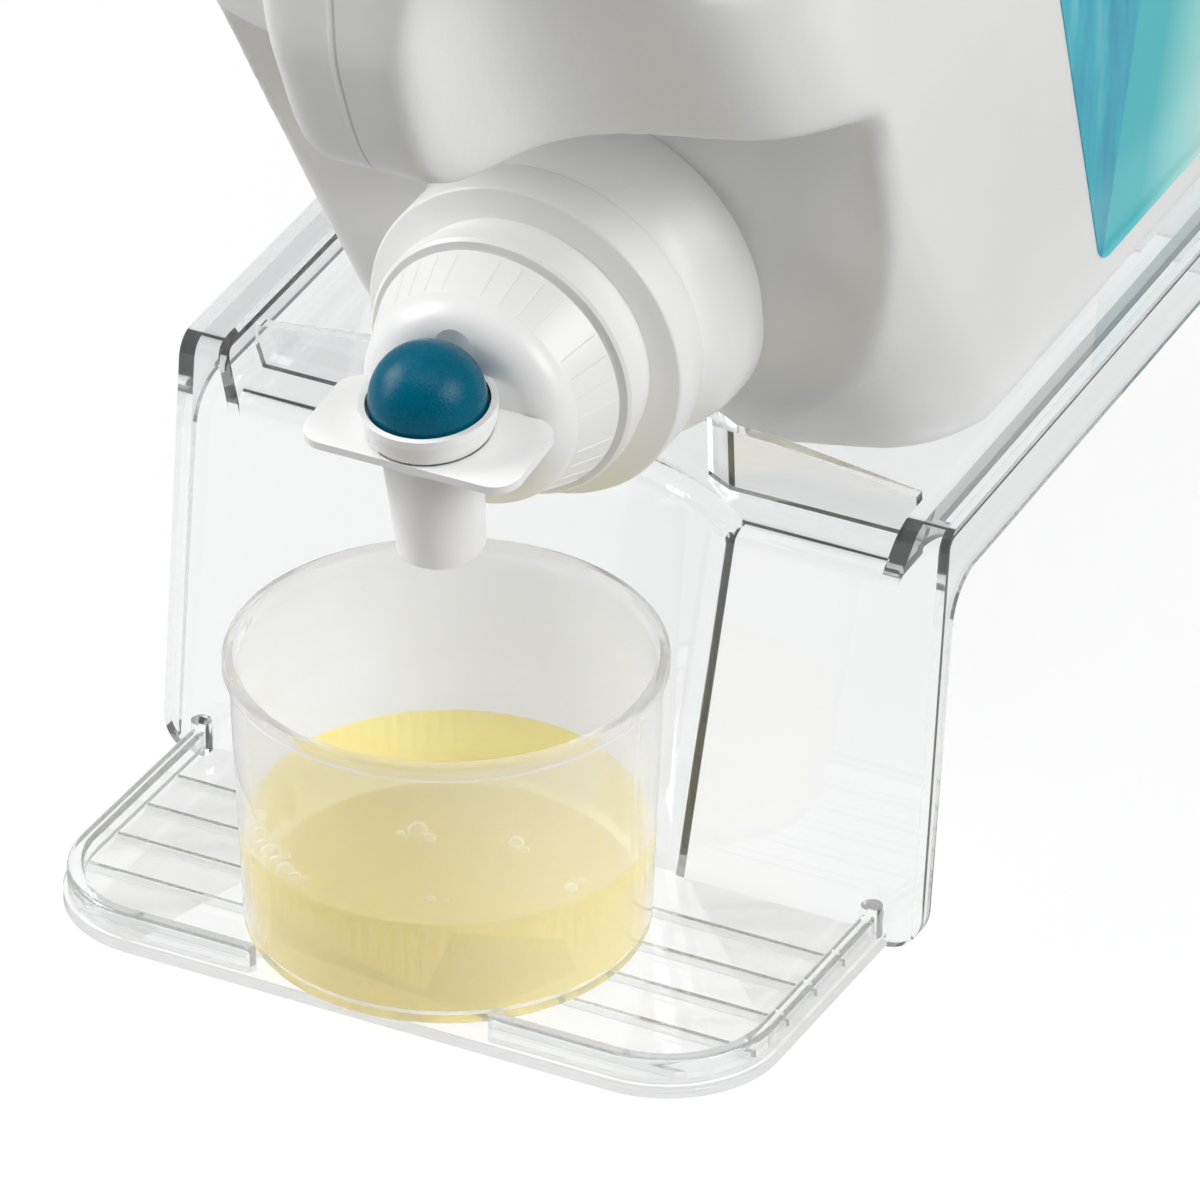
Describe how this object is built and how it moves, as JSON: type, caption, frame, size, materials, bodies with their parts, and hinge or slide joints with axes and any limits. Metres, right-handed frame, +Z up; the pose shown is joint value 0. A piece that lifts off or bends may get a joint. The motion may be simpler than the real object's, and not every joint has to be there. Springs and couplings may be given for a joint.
{
  "type": "laundry detergent dispenser",
  "caption": "Laundry detergent dispenser: a white jug with a press tap lies in a clear plastic cradle, over a drip tray that holds a part-filled measuring cup",
  "frame": {"origin": "middle of the bounding box in X and Y, on the plane the cradle stands on", "axes": "+X to the right seen from the tap, across the cradle; the tap and the drip tray face -Y; +Z up"},
  "size_m": [0.156, 0.3291, 0.3092],
  "materials": {
    "clear_plastic": "polished clear polystyrene moulding",
    "bottle_white": "white blow-moulded polyethylene with a fine pebbled skin",
    "label_film": null,
    "tap_white": "satin white polypropylene",
    "button_blue": "fine-grained petrol blue polypropylene",
    "seal_rubber": "pale elastomer",
    "spring_steel": "stainless spring wire",
    "cup_frosted": "frosted translucent polypropylene",
    "detergent_yellow": "clear pale yellow liquid",
    "detergent_clear": "clear liquid"
  },
  "bodies": {
    "dispenser": {"stand": "clear_plastic", "jug": "bottle_white", "side_label": "label_film", "tap_body": "tap_white", "stem_seal": "seal_rubber", "return_spring": "spring_steel", "cap_gasket": "seal_rubber", "measuring_cup": "cup_frosted", "detergent": "detergent_yellow"},
    "press_valve": {"press_button": "button_blue", "valve_stem": "tap_white", "valve_seal": "seal_rubber", "detergent_drop": "detergent_clear"}
  },
  "joints": [
    {"name": "button_press", "type": "slide", "parent": "dispenser", "child": "press_valve", "axis": [0, 0.1426, -0.9898], "range_m": [0, 0.004], "stiffness_N_per_m": 1500, "springref_m": -0.002, "deforming": ["return_spring"]}
  ]
}
